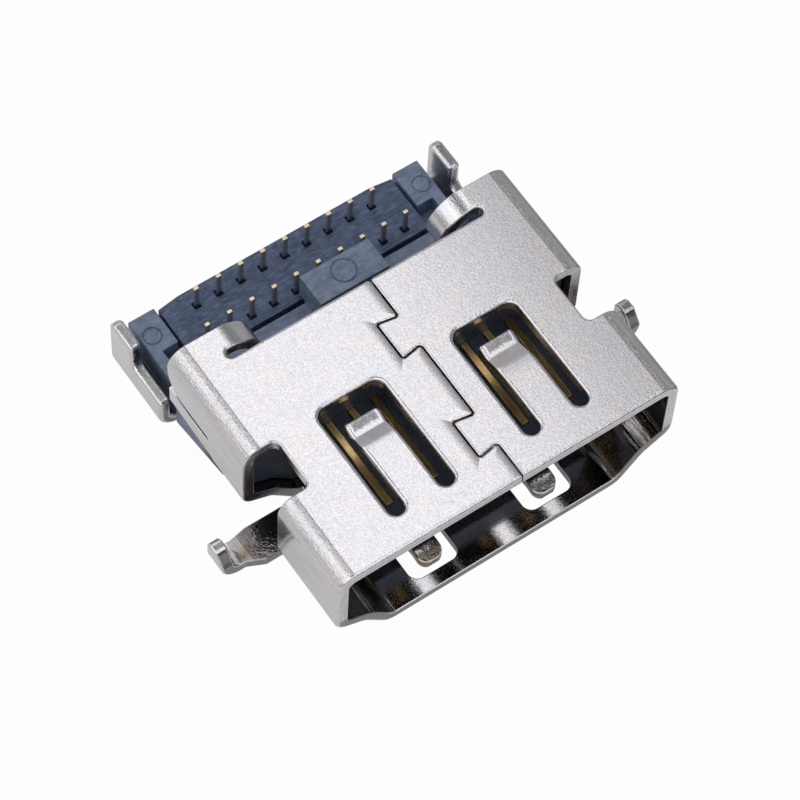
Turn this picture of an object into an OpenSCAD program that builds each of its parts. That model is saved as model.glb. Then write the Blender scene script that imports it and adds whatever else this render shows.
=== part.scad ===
// Board-mount digital video socket with a D-shaped mouth, sunk into its circuit board.
// The origin is the centre of the mouth. +Y runs into the socket and +Z is up.
// Heights of the rear are given as drops below the outer top of the shell.

/* [Mouth] */
// Inner width of the mouth
mouth_w = 14.0; // [13.9:0.05:14.2]
// Inner height of the mouth
mouth_h = 4.55; // [4.5:0.05:4.6]
// Thickness of the folded sheet
sheet_t = 0.5; // [0.46:0.01:0.5]
// Inner radius of the upper corners
top_r = 0.3; // [0.2:0.05:0.4]
// Height of the sloping lower corners above the inner floor
corner_h = 1.85; // [1.8:0.05:1.9]
// Slope of the upper part of the lower corners in degrees
slant_upper = 28; // [26:1:30]
// Slope of the lower part of the lower corners in degrees
slant_lower = 50; // [48:1:52]
// Width of the sloping lower corners
corner_w = 2.18; // [2.14:0.01:2.22]

/* [Shell lengths] */
// Depth at which the side notches start
notch_y = 3.9; // [3.8:0.05:4.0]
// Depth at which the side notches end
notch_end = 6.1; // [6.0:0.05:6.2]
// How far the side notches reach into the top
notch_deep = 0.9; // [0.8:0.05:1.0]
// Depth at which the lower part of the tube ends
tube_len = 8.2; // [8.1:0.05:8.3]
// Depth of the rear edge of the top
top_len = 9.78; // [9.72:0.02:9.82]
// How far the wing walls reach past the top
wing_over = 1.35; // [1.32:0.01:1.42]
// Length of the slit in each wing
slit_len = 2.68; // [2.5:0.02:2.74]
// Drop of the middle of that slit
slit_drop = 2.28; // [2.2:0.02:2.36]
// Height of that slit
slit_h = 0.25; // [0.2:0.01:0.3]
// Radius of the wing corner above the slit
wing_corner_r = 1.1; // [0.8:0.05:1.2]

/* [Seam] */
// Sideways place of the straight parts of the seam
seam_x = 0.46; // [0.4:0.02:0.5]
// Gap of the seam
seam_gap = 0.06; // [0.04:0.01:0.08]
// Depth of the middle of the front key
key_front_y = 2.34; // [2.2:0.02:2.5]
// Depth of the middle of the rear key
key_rear_y = 7.19; // [7.05:0.02:7.3]
// Length of the neck of each key
key_neck = 1.42; // [1.36:0.02:1.5]
// How far each key reaches sideways
key_depth = 0.87; // [0.82:0.01:0.92]
// Flare of each key in degrees
key_flare = 10; // [8:1:12]
// Radius of the corners of the keys
key_r = 0.12; // [0.1:0.01:0.14]

/* [Top springs] */
// Sideways place of the springs in the top
spring_x = 2.95; // [2.9:0.05:3.05]
// Half width of the U-shaped slot
spring_slot_half = 1.4; // [1.35:0.05:1.45]
// Half width of a spring
spring_half = 0.75; // [0.7:0.05:0.8]
// Depth at which the arms of the slot start
spring_slot_y = 1.2; // [1.1:0.05:1.3]
// Depth at which the slot ends
spring_slot_end = 6.26; // [6.2:0.02:6.4]
// Radius of the rear corners of the slot
spring_slot_r = 0.45; // [0.3:0.05:0.5]
// Depth at which a spring starts to bend
spring_bend_y = 3.3; // [3.25:0.05:3.35]
// First bend of a spring in degrees
spring_bend_1 = 6; // [5:1:7]
// Second bend of a spring in degrees
spring_bend_2 = 14; // [12:1:16]
// Turn of the spring tip in degrees
spring_bend_3 = 36; // [34:1:38]
// Length of the gently sloping part
spring_len_1 = 0.3; // [0.26:0.02:0.34]
// Length of the steep part
spring_len_2 = 0.45; // [0.41:0.02:0.49]
// Length of the tip
spring_len_3 = 0.5; // [0.46:0.02:0.54]

/* [Floor springs] */
// Sideways place of the windows in the floor
window_x = 2.57; // [2.5:0.02:2.6]
// Half width of a window
window_half = 1.05; // [1.0:0.05:1.1]
// Half width of a floor spring
floor_spring_half = 0.52; // [0.48:0.02:0.54]
// Depth of the front edge of a window
window_y = 0.61; // [0.58:0.01:0.66]
// Depth at which a floor spring is rooted
floor_spring_root = 4.4; // [4.38:0.02:4.44]
// Rise angle of a floor spring in degrees
floor_spring_rise = 11; // [10:1:12]
// Turn of the floor spring tip in degrees
floor_spring_turn = 24; // [22:1:26]

/* [Legs and cover] */
// Rise of the front legs above the floor
leg_rise = 0.407; // [0.39:0.001:0.43]
// Sideways reach of the front legs
leg_reach = 9.42; // [9.35:0.01:9.5]
// Depth of the front edge of a front leg at its root
leg_y = 4.2; // [4.15:0.05:4.25]
// Depth of the rear edge of a front leg at its root
leg_end = 5.72; // [5.68:0.02:5.8]
// Drop of the tips of the front legs
leg_tip_drop = 3.65; // [3.6:0.05:3.7]
// Depth of the front edge of the cover and the rear legs
cover_y = 11.75; // [11.74:0.01:11.8]
// How far the cover and the rear legs end before the insulator
cover_inset = 0.11; // [0.06:0.01:0.16]
// Drop of the outer face of the cover
cover_drop = 6.75; // [6.74:0.01:6.78]
// Drop of the tips of the rear legs
rear_tip_drop = 3.55; // [3.5:0.05:3.6]
// Drop of the low front part of the rear legs
rear_low_drop = 4.8; // [4.75:0.05:4.85]
// Length of the tall part of the rear legs
rear_tall = 1.51; // [1.45:0.01:1.55]
// Flat end of the strap that joins tube and cover
strap_flat = 0.27; // [0.1:0.01:0.3]
// How much narrower that strap is than the floor at each side
strap_inset = 0.22; // [0.12:0.05:0.32]

/* [Insulator] */
// Width of the tongue beside the outer contacts
tongue_side = 0.7; // [0.6:0.05:0.8]
// Height of the tongue
tongue_h = 1.5; // [1.45:0.05:1.55]
// Depth of the front of the tongue
tongue_y = 1.95; // [1.9:0.05:2.0]
// Depth of the front of the body
body_y = 6.5; // [6.45:0.05:6.6]
// Gap between the rear of the insulator and the rear legs
deck_gap = 0.38; // [0.36:0.01:0.42]
// Length of the end blocks
block_len = 1.74; // [1.7:0.01:1.76]
// Sideways place of the middle of the raised pad
pad_x = 1.04; // [0.9:0.02:1.2]
// Width of the raised pad
pad_w = 3.12; // [3.0:0.02:3.2]
// Drop of the top of the raised pad
pad_drop = 3.35; // [3.3:0.05:3.4]

/* [Tail locator] */
// Width of the plate beside the outer contacts
plate_side = 0.84; // [0.82:0.01:0.86]
// Length of the plate in front of the tails of the upper row
plate_lead = 0.45; // [0.42:0.01:0.5]
// Thickness of the plate
plate_t = 0.713; // [0.7:0.001:0.73]
// Width of the square holes
hole_w = 0.3; // [0.28:0.01:0.32]

/* [Contacts] */
// Sideways step from one contact to the next
pitch = 0.5; // [0.49:0.005:0.5]
// Width of a contact
contact_w = 0.28; // [0.26:0.01:0.3]
// Thickness of a contact
contact_t = 0.15; // [0.14:0.01:0.16]
// Width of the tails
tail_w = 0.2; // [0.18:0.01:0.22]
// Depth of the front end of the contacts
contact_y = 2.53; // [2.45:0.02:2.6]
// Run of the upper contacts from the cover's front edge to their tails
tail_run = 1.35; // [1.33:0.01:1.37]
// Step from the upper to the lower row of tails
row_step = 1.54; // [1.5:0.01:1.56]
// Length of the insulator behind the tails of the lower row
tail_rim = 0.72; // [0.7:0.01:0.74]
// Drop of the tail tips
tail_tip_drop = 3.458; // [3.4:0.002:3.5]

/* [Hidden] */
$fn = 48;
// Largest step of a bend in degrees
arc_step = 6;
contact_count = 19;
// Clearances
fit = 0.05;
slide = 0.03;
over = 0.5;
// How far a bent piece of the sheet runs on inside the flat piece that it joins
lap = 0.2;
// Lines of the shell, measured on the middle of the sheet
half_t = sheet_t / 2;
top_z = mouth_h / 2 + sheet_t;
floor_in_z = -mouth_h / 2;
mid_top = top_z - half_t;
mid_floor = floor_in_z - half_t;
mid_wall = mouth_w / 2 + half_t;
floor_half = mouth_w / 2 - corner_w;
shoulder_drop = mouth_h + sheet_t - corner_h;
outer_wall = mouth_w / 2 + sheet_t;
mid_top_r = top_r + half_t;
top_run = mid_wall - mid_top_r;
wall_run = shoulder_drop - half_t - mid_top_r;
shoulder_r = 0.45;
knee_r = 1.0;
heel_r = 0.55;
turn_wall = -90;
turn_upper = slant_upper - 180;
turn_lower = slant_lower - 180;
turn_floor = -180;
// Lengths of the two slants that join wall and floor
corner_gap = [floor_half - mid_wall, mid_floor - (top_z - shoulder_drop)]
    - arc_shift(shoulder_r, turn_wall, turn_upper)
    - arc_shift(knee_r, turn_upper, turn_lower)
    - arc_shift(heel_r, turn_lower, turn_floor);
slant_det = sin(slant_lower - slant_upper);
len_upper = (corner_gap[1] * cos(slant_lower) - corner_gap[0] * sin(slant_lower)) / slant_det;
len_lower = (corner_gap[0] * sin(slant_upper) - corner_gap[1] * cos(slant_upper)) / slant_det;
// Half of the tube, from the middle of the top to the middle of the floor
tube_steps = [
    [lap + top_run], [mid_top_r, -90], [wall_run],
    [shoulder_r, slant_upper - 90], [len_upper],
    [knee_r, slant_lower - slant_upper], [len_lower],
    [heel_r, -slant_lower], [floor_half + lap]
];
notch_r = 0.3;
notch_half = mouth_w / 2 - notch_deep;
wing_len = top_len + wing_over;
slit_y = wing_len - slit_len;
// Rear tabs that curl down from the wings
tab_x = 5.45;
tab_slot_w = 0.38;
tab_y = top_len + tab_slot_w;
tab_r = 1.25;
tab_turn = 80;
tab_tip = 0.3;
// Seam
key_turn = 90 + key_flare;
key_side = (key_depth - 2 * key_r * (1 - cos(key_turn))) / sin(key_turn);
key_span = key_neck + 2 * key_r * tan(key_turn / 2);
key_tip = key_span - 2 * (2 * key_r * sin(key_turn) + key_side * cos(key_turn));
// Springs
spring_r_1 = 3.0;
spring_r_2 = 1.0;
spring_r_3 = 0.5;
spring_tip_r = 0.2;
spring_arm_r = (spring_slot_half - spring_half) / 2;
floor_arm_r = (window_half - floor_spring_half) / 2;
floor_spring_r_1 = 2.0;
floor_spring_r_2 = 0.8;
floor_spring_len_1 = 2.4;
floor_spring_len_2 = 0.5;
window_r = 0.4;
floor_spring_tip_r = 0.4;
// Front legs
joggle_turn = 50;
joggle_r = leg_rise / (2 * (1 - cos(joggle_turn)));
seat_drop = mouth_h + sheet_t - leg_rise;
leg_inner_r = 0.3;
leg_bend_r = leg_inner_r + half_t;
leg_run = leg_reach - half_t - leg_bend_r - floor_half - 2 * joggle_r * sin(joggle_turn);
leg_up = seat_drop + half_t - leg_bend_r - leg_tip_drop;
neck_lead = 1.72;
neck_reach = 1.02;
neck_cut_front = 0.32;
neck_cut_rear = 0.14;
neck_start = leg_reach - neck_lead;
neck_stop = leg_reach - neck_reach;
neck_y = leg_y + neck_cut_front;
neck_end = leg_end - neck_cut_rear;
leg_taper_w = 0.48;
leg_taper_h = 0.62;
leg_tip_r = 0.2;
// Depths of the rear, which follow the front edge of the cover and the rows of tails
tail_y_upper = cover_y + tail_run;
tail_y_lower = tail_y_upper + row_step;
plate_y = tail_y_upper - plate_lead;
deck_end = tail_y_lower + tail_rim;
deck_half = mouth_w / 2 - deck_gap;
block_y = deck_end - block_len;
cover_end = deck_end - cover_inset;
rear_step_y = cover_end - rear_tall;
// Cover and rear legs
mid_cover = top_z - cover_drop + half_t;
cover_in_z = top_z - cover_drop + sheet_t;
cover_inner_r = 0.4;
cover_bend_r = cover_inner_r + half_t;
rear_up = cover_drop - half_t - cover_bend_r - rear_tip_drop;
rear_step_r = 0.3;
rear_chamfer = 0.2;
strap_r = 0.8;
strap_half = floor_half - strap_inset;
strap_fall = mid_floor - mid_cover;
strap_run = cover_y - tube_len - strap_flat;
// The strap is the line that touches two bends, whose centres lie this far apart
strap_span = norm([strap_run, 2 * strap_r - strap_fall]);
strap_len = sqrt(strap_span * strap_span - 4 * strap_r * strap_r);
strap_slope = asin(2 * strap_r / strap_span) - atan2(2 * strap_r - strap_fall, strap_run);
strap_steps = [[strap_r, -strap_slope], [strap_len], [strap_r, strap_slope]];
// Contacts
row_half = (contact_count - 1) / 2 * pitch;
proud = 0.05;
contact_r = 0.4;
contact_turn = 70;
tail_r = 0.3;
tail_taper = 0.12;
run_gap = 0.055;
// How far the contacts reach the deck in front of the cover
run_lead_upper = 0.12;
run_lead_lower = 0.16;
// Insulator
tongue_half = row_half + tongue_side;
tongue_shift = 0.025;
tongue_top = tongue_h / 2 - tongue_shift;
tongue_low = tongue_top - tongue_h;
body_half = mouth_w / 2 - fit;
body_top = mouth_h / 2 - fit;
body_low = floor_in_z + fit;
ramp_y = tube_len + 2 * fit;
deck_low = cover_in_z + fit;
deck_t = 0.27;
run_z = deck_low + deck_t + run_gap + contact_t / 2;
bend_gap = 0.45;
top_cover = 0.36;
body_end = min(contact_bend_y(1) - bend_gap, top_len - top_cover);
ramp_t = 0.4;
plate_half = row_half + plate_side;
// Cheeks behind the wing walls
cheek_gap = 0.12;
cheek_lap = 0.2;
cheek_lead = 0.25;
cheek_below = 0.36;
cheek_x = plate_half + cheek_gap;
cheek_y = body_end - cheek_lap;
cheek_end = cover_y - cheek_lead;
cheek_drop = 1.2;
cheek_low_drop = mouth_h + sheet_t + cheek_below;
// Ledges that carry the plate, and the feet beside them
ledge_w = 0.39;
ledge_lead = 0.75;
ledge_h = 0.75;
foot_w = 0.45;
ledge_x = plate_half - ledge_w;
ledge_y = cover_y - ledge_lead;
ledge_z = deck_low + ledge_h;
foot_x = deck_half - foot_w;
// Cross bar in front of the plate, and the raised pad on it
bar_gap = 0.18;
bar_w = 0.72;
bar_h = 0.75;
bar_inset = 0.22;
bar_end = plate_y - bar_gap;
bar_y = bar_end - bar_w;
bar_low = ledge_z - fit;
bar_top = bar_low + bar_h;
bar_half = deck_half - bar_inset;
pad_lead = 0.35;
pad_over = 0.22;
pad_y = bar_y - pad_lead;
pad_end = plate_y + pad_over;
// Thin round grooves left by the mould
block_mark_in = 0.47;
block_mark_back = 1.0;
block_mark_x = deck_half - block_mark_in;
block_mark_y = deck_end - block_mark_back;
block_mark_r = 0.36;
pad_mark_lead = 0.77;
pad_mark_y = pad_y + pad_mark_lead;
pad_mark_r = 0.5;
mark_w = 0.06;
mark_deep = 0.06;
// Plate
plate_top = ledge_z + plate_t;
plate_corner_w = 0.94;
plate_corner_d = 0.12;

// Name of a contact
function contact_name(k) = str("contact_", k < 10 ? "0" : "", k);
// Height for a drop below the outer top
function at_drop(drop) = top_z - drop;
// Shift along an arc that turns from one heading to another
function arc_shift(r, from, to) =
    r * sign(to - from) * [sin(to) - sin(from), cos(from) - cos(to)];
// Facts about one contact
function is_upper(k) = k % 2 == 1;
function contact_x(k) = (k - (contact_count + 1) / 2) * pitch;
function contact_level(k) = is_upper(k)
    ? tongue_top + proud - contact_t / 2
    : tongue_low - proud + contact_t / 2;
function tail_y(k) = is_upper(k) ? tail_y_upper : tail_y_lower;
// Length of the steep part of a contact, and the depth at which it bends down to it
function contact_slope(k) =
    (contact_level(k) - run_z - 2 * contact_r * (1 - cos(contact_turn))) / sin(contact_turn);
function contact_foot_y(k) = cover_y - (is_upper(k) ? run_lead_upper : run_lead_lower);
function contact_bend_y(k) = contact_foot_y(k) - 2 * contact_r * sin(contact_turn)
    - contact_slope(k) * cos(contact_turn);

// Places and headings along a path of steps: [length] runs straight, [radius, angle] turns
function walk(steps, i = 0, spot = [0, 0], turn = 0) =
    i == len(steps)
    ? [[spot, turn]]
    : len(steps[i]) == 1
    ? concat(
        [[spot, turn]],
        walk(steps, i + 1, spot + steps[i][0] * [cos(turn), sin(turn)], turn)
    )
    : let (parts = ceil(abs(steps[i][1]) / arc_step))
    concat(
        [for (j = [0 : parts - 1])
            let (now = turn + steps[i][1] * j / parts)
            [spot + arc_shift(steps[i][0], turn, now), now]],
        walk(
            steps, i + 1,
            spot + arc_shift(steps[i][0], turn, turn + steps[i][1]), turn + steps[i][1]
        )
    );
// Edge of a strip at a signed distance from its path
function strip_edge(path, gap) = [for (p = path) p[0] + gap * [-sin(p[1]), cos(p[1])]];
function backward(list) = [for (i = [len(list) - 1 : -1 : 0]) list[i]];

// Flat strip that follows a path of steps
module ribbon(w, steps) {
    path = walk(steps);
    polygon(concat(strip_edge(path, -w / 2), backward(strip_edge(path, w / 2))));
}

// Rectangle with round corners
module soft_square(size, r) {
    translate([r, 0]) square([size[0] - 2 * r, size[1]]);
    translate([0, r]) square([size[0], size[1] - 2 * r]);
    for (x = [r, size[0] - r], y = [r, size[1] - r]) translate([x, y]) circle(r);
}

// Extrudes an X-Z profile along Y
module along_y(from, to) {
    translate([0, to, 0]) rotate([90, 0, 0]) linear_extrude(to - from) children();
}

// Extrudes a Y-Z profile along X, centred
module along_x(w) {
    rotate([90, 0, 90]) linear_extrude(w, center = true) children();
}

// Extrudes an X-Y plan between two heights
module upright(low, high) {
    translate([0, 0, low]) linear_extrude(high - low) children();
}

// A shape and its mirror image
module both() {
    children();
    mirror([1, 0, 0]) children();
}

// Half of the D-shaped tube, seen from the mouth
module tube_half() {
    translate([-lap, mid_top]) ribbon(sheet_t, tube_steps);
}

// Half of the top with one straight wall
module cap_half() {
    translate([-lap, mid_top])
        ribbon(sheet_t, [[lap + top_run], [mid_top_r, -90], [wall_run]]);
}

// Line of the dovetail seam
module seam_line() {
    front_run = key_front_y - key_span / 2;
    mid_run = key_rear_y - key_front_y - key_span;
    rear_run = top_len - key_rear_y - key_span / 2;
    translate([seam_x, -over]) rotate(90) ribbon(seam_gap, [
        [over + front_run],
        [key_r, key_turn], [key_side], [key_r, -key_turn], [key_tip],
        [key_r, -key_turn], [key_side], [key_r, key_turn], [mid_run],
        [key_r, key_turn], [key_side], [key_r, -key_turn], [key_tip],
        [key_r, -key_turn], [key_side], [key_r, key_turn], [rear_run + over]
    ]);
}

// U-shaped slot round one top spring
module spring_slot() {
    arm_y = spring_slot_y + spring_arm_r;
    difference() {
        union() {
            translate([-spring_slot_half, arm_y])
                square([2 * spring_slot_half, spring_slot_end - spring_slot_r - arm_y]);
            translate([-spring_slot_half, arm_y])
                soft_square([2 * spring_slot_half, spring_slot_end - arm_y], spring_slot_r);
        }
        translate([-spring_half, 0]) square([2 * spring_half, spring_bend_y]);
    }
    for (side = [-1, 1])
        translate([side * (spring_half + spring_arm_r), arm_y]) circle(spring_arm_r);
}

// Bent part of one top spring
module spring_blade() {
    intersection() {
        along_x(2 * spring_half) translate([spring_bend_y - lap, mid_top]) ribbon(sheet_t, [
            [lap], [spring_r_1, -spring_bend_1], [spring_len_1],
            [spring_r_2, -spring_bend_2], [spring_len_2],
            [spring_r_3, spring_bend_3], [spring_len_3]
        ]);
        upright(floor_in_z, top_z + over) spring_plan();
    }
}

// Outline of one top spring from above, with round tip corners
module spring_plan() {
    bend_1 = arc_shift(spring_r_1, 0, -spring_bend_1);
    bend_2 = arc_shift(spring_r_2, -spring_bend_1, -spring_bend_1 - spring_bend_2);
    end_turn = spring_bend_3 - spring_bend_1 - spring_bend_2;
    bend_3 = arc_shift(spring_r_3, -spring_bend_1 - spring_bend_2, end_turn);
    reach = bend_1[0] + spring_len_1 * cos(spring_bend_1) + bend_2[0]
        + spring_len_2 * cos(spring_bend_1 + spring_bend_2) + bend_3[0]
        + spring_len_3 * cos(end_turn);
    translate([-spring_half, spring_bend_y - lap]) {
        soft_square([2 * spring_half, reach + lap], spring_tip_r);
        square([2 * spring_half, reach / 2]);
    }
}

// Window round one floor spring
module floor_window() {
    translate([-window_half, window_y]) difference() {
        soft_square([2 * window_half, floor_spring_root - window_y], window_r);
        translate([window_half - floor_spring_half, floor_spring_root - window_y - over])
            square([2 * floor_spring_half, 2 * over]);
    }
    translate([-window_half, window_y + window_r])
        square([window_half - floor_spring_half, floor_spring_root - window_y - window_r]);
    translate([floor_spring_half, window_y + window_r])
        square([window_half - floor_spring_half, floor_spring_root - window_y - window_r]);
    for (side = [-1, 1])
        translate([side * (floor_spring_half + floor_arm_r), floor_spring_root])
            circle(floor_arm_r);
}

// Bent part of one floor spring, rooted at the rear
module floor_blade() {
    tip_turn = floor_spring_turn - floor_spring_rise;
    bend_1 = arc_shift(floor_spring_r_1, 0, floor_spring_rise);
    bend_2 = arc_shift(floor_spring_r_2, floor_spring_rise, -tip_turn);
    root = floor_spring_root - over;
    reach = bend_1[0] + floor_spring_len_1 * cos(floor_spring_rise) + bend_2[0]
        + floor_spring_len_2 * cos(tip_turn) - over;
    intersection() {
        along_x(2 * floor_spring_half) translate([root + lap, mid_floor]) mirror([1, 0])
            ribbon(sheet_t, [
                [lap], [floor_spring_r_1, floor_spring_rise], [floor_spring_len_1 - over],
                [floor_spring_r_2, -floor_spring_turn], [floor_spring_len_2]
            ]);
        upright(mid_floor - over, tongue_low)
            translate([-floor_spring_half, root - reach]) {
                soft_square([2 * floor_spring_half, reach + lap], floor_spring_tip_r);
                translate([0, reach / 2]) square([2 * floor_spring_half, reach / 2 + lap]);
            }
    }
}

// Side notch of the tube
module side_notch() {
    wide = outer_wall + 2 * over - notch_half;
    upright(0, top_z + over) translate([notch_half, notch_y])
        soft_square([wide, notch_end - notch_y], notch_r);
    upright(mid_floor - over, 0) translate([floor_half, notch_y])
        square([outer_wall + over - floor_half, notch_end - notch_y]);
}

// What is cut from the rear of the top to leave the tabs
module tab_cut() {
    r = tab_slot_w / 2;
    translate([-tab_x, top_len]) square([2 * tab_x, wing_len + over - top_len]);
    for (side = [-1, 1]) translate([side * tab_x, top_len + r]) circle(r);
}

// Slit of the wing walls and the round corner above it, seen from the side
module wing_cut() {
    mid = at_drop(slit_drop);
    translate([slit_y + slit_h / 2, mid - slit_h / 2])
        square([wing_len + over - slit_y, slit_h]);
    translate([slit_y + slit_h / 2, mid]) circle(slit_h / 2);
    translate([wing_len - wing_corner_r, mid]) difference() {
        square([wing_corner_r + over, slit_h / 2 + wing_corner_r]);
        translate([0, slit_h / 2 + wing_corner_r]) circle(wing_corner_r);
    }
}

// Tab that curls down from a wing
module curled_tab() {
    along_y(tab_y, wing_len) translate([tab_x + lap, mid_top]) mirror([1, 0])
        ribbon(sheet_t, [[lap], [tab_r, -tab_turn], [tab_tip]]);
}

// Front leg: a joggle up from the floor, a run out and a bend up
module front_leg() {
    tip_z = at_drop(leg_tip_drop);
    low = mid_floor - over;
    intersection() {
        along_y(leg_y, leg_end) translate([floor_half - lap, mid_floor]) ribbon(sheet_t, [
            [lap], [joggle_r, joggle_turn], [joggle_r, -joggle_turn], [leg_run],
            [leg_bend_r, 90], [leg_up]
        ]);
        upright(low, top_z) polygon([
            [floor_half - over, leg_y], [neck_start, leg_y], [neck_stop, neck_y],
            [leg_reach + over, neck_y], [leg_reach + over, neck_end],
            [neck_stop, neck_end], [neck_start, leg_end], [floor_half - over, leg_end]
        ]);
        along_x(2 * (leg_reach + over)) polygon([
            [leg_y - over, low], [leg_end + over, low], [leg_end + over, tip_z - leg_tip_r],
            [neck_end, tip_z - leg_tip_r], [neck_end - leg_tip_r, tip_z],
            [neck_y + leg_taper_w, tip_z], [neck_y, tip_z - leg_taper_h],
            [leg_y - over, tip_z - leg_taper_h]
        ]);
    }
}

// Rear leg with half of the bottom cover
module rear_leg() {
    low = mid_cover - over;
    tall = at_drop(rear_tip_drop);
    small = at_drop(rear_low_drop);
    intersection() {
        along_y(cover_y, cover_end) translate([-lap, mid_cover])
            ribbon(sheet_t, [[lap + mid_wall - cover_bend_r], [cover_bend_r, 90], [rear_up]]);
        along_x(2 * (outer_wall + over)) {
            polygon([
                [cover_y - over, low], [cover_end + over, low],
                [cover_end + over, tall - rear_chamfer], [cover_end, tall - rear_chamfer],
                [cover_end - rear_chamfer, tall], [rear_step_y, tall],
                [rear_step_y, small], [cover_y - over, small]
            ]);
            translate([rear_step_y - rear_step_r, small]) difference() {
                square(rear_step_r);
                translate([0, rear_step_r]) circle(rear_step_r);
            }
        }
    }
}

// Strap from the rear of the tube floor down to the cover
module strap() {
    along_x(2 * strap_half) translate([tube_len - lap, mid_floor])
        ribbon(sheet_t, concat([[lap]], strap_steps, [[strap_flat + lap]]));
}

// The folded sheet
module shell() color("Silver") {
    difference() {
        union() {
            both() along_y(0, tube_len) tube_half();
            both() along_y(tube_len - lap, wing_len) cap_half();
        }
        upright(mid_top - sheet_t, mid_top + sheet_t) {
            seam_line();
            tab_cut();
            both() translate([spring_x, 0]) spring_slot();
        }
        upright(mid_floor - sheet_t, mid_floor + sheet_t)
            both() translate([window_x, 0]) floor_window();
        both() side_notch();
        along_x(2 * (outer_wall + over)) wing_cut();
    }
    both() {
        translate([spring_x, 0, 0]) spring_blade();
        translate([window_x, 0, 0]) floor_blade();
        curled_tab();
        front_leg();
        rear_leg();
    }
    strap();
}

// Half outline of the body that fills the tube
module body_half_plan() {
    translate([-lap, mid_top]) polygon(strip_edge(walk(tube_steps), -half_t - fit));
}

// Ramp and deck below the tails, which follow the strap and the cover, seen from the side
module deck_side() {
    path = walk(concat(strap_steps, [[deck_end - tube_len - strap_run]]));
    gap = half_t + fit;
    translate([tube_len, mid_floor])
        polygon(concat(strip_edge(path, gap), backward(strip_edge(path, gap + deck_t))));
}

// Cheek behind a wing wall, seen from the side
module cheek_side() {
    polygon([
        [ramp_y, at_drop(cheek_low_drop)], [cheek_end, deck_low],
        [cheek_end, at_drop(cheek_drop)], [cheek_y, at_drop(cheek_drop)],
        [cheek_y, body_low + ramp_t], [ramp_y, body_low + ramp_t]
    ]);
}

// Room for one contact in tongue and body
module contact_room(k) {
    level = contact_level(k);
    low = level - contact_t / 2 - (is_upper(k) ? 0 : slide);
    translate([contact_x(k) - contact_w / 2 - slide, contact_y - slide, low])
        cube([contact_w + 2 * slide, body_end + over - contact_y, contact_t + slide]);
}

// Thin round groove left by the mould
module mould_mark(r, x, y, z) {
    translate([x, y, 0]) upright(z - mark_deep, z + over) difference() {
        circle(r + mark_w / 2);
        circle(r - mark_w / 2);
    }
}

// A box between two corners
module box(low, high) {
    translate(low) cube(high - low);
}

// The one-piece moulding
module insulator_housing() color("DarkSlateGray") difference() {
    seat_z = at_drop(seat_drop);
    pad_low = plate_top + fit;
    union() {
        box([-tongue_half, tongue_y, tongue_low], [tongue_half, body_y + over, tongue_top]);
        both() along_y(body_y, body_end) body_half_plan();
        along_x(2 * deck_half) deck_side();
        both() intersection() {
            along_x(2 * body_half) cheek_side();
            box([cheek_x, ramp_y - over, deck_low - over], [body_half, cheek_end + over, top_z]);
        }
        both() box(
            [ledge_x, ledge_y, deck_low],
            [deck_half, deck_end, ledge_z]
        );
        both() box([foot_x, ledge_y, deck_low], [deck_half, deck_end, seat_z]);
        both() box([cheek_x, block_y, deck_low], [deck_half, deck_end, seat_z]);
        box([-bar_half, bar_y, bar_low], [bar_half, bar_end, bar_top]);
        box(
            [pad_x - pad_w / 2, pad_y, bar_top - fit],
            [pad_x + pad_w / 2, bar_end, at_drop(pad_drop)]
        );
        box(
            [pad_x - pad_w / 2, bar_end - fit, pad_low],
            [pad_x + pad_w / 2, pad_end, at_drop(pad_drop)]
        );
    }
    for (k = [1 : contact_count]) contact_room(k);
    both() mould_mark(block_mark_r, block_mark_x, block_mark_y, seat_z);
    mould_mark(pad_mark_r, pad_x, pad_mark_y, at_drop(pad_drop));
}

// The plate that the tails pass through
module tail_locator() color("SlateGray")
    upright(ledge_z, plate_top) difference() {
        polygon([
            [-plate_half, plate_y], [plate_half, plate_y],
            [plate_half, deck_end - plate_corner_d],
            [plate_half - plate_corner_w, deck_end],
            [plate_corner_w - plate_half, deck_end],
            [-plate_half, deck_end - plate_corner_d]
        ]);
        for (k = [1 : contact_count])
            translate([contact_x(k), tail_y(k)]) square(hole_w, center = true);
    }

// Outline of one contact from above, narrower at the tail
module contact_plan(k) {
    half = contact_w / 2;
    thin = tail_w / 2;
    bend = tail_y(k) - tail_r;
    last = tail_y(k) + over;
    polygon([
        [-half, contact_y], [half, contact_y], [half, bend], [thin, bend + tail_taper],
        [thin, last], [-thin, last], [-thin, bend + tail_taper], [-half, bend]
    ]);
}

// One bent contact
module contact(k) color("Goldenrod") translate([contact_x(k), 0, 0]) intersection() {
    along_x(contact_w + over) translate([contact_y, contact_level(k)]) ribbon(contact_t, [
        [contact_bend_y(k) - contact_y],
        [contact_r, -contact_turn], [contact_slope(k)], [contact_r, contact_turn],
        [tail_y(k) - tail_r - contact_foot_y(k)],
        [tail_r, 90], [at_drop(tail_tip_drop) - run_z - tail_r]
    ]);
    upright(deck_low, top_z) contact_plan(k);
}

shell();
insulator_housing();
tail_locator();
for (k = [1 : contact_count]) contact(k);
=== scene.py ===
"""Dresses the board-mount digital video socket for its studio picture.

Lengths are in millimetres, unless a name or a comment gives another unit.
"""

import logging
import math
from dataclasses import dataclass
from enum import Enum
from typing import Any, Callable, Dict, List, Optional, Sequence, Tuple

import bmesh
import bpy
from mathutils import Matrix, Vector
from mathutils.bvhtree import BVHTree
from mathutils.geometry import intersect_line_line_2d
from mathutils.kdtree import KDTree


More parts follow.
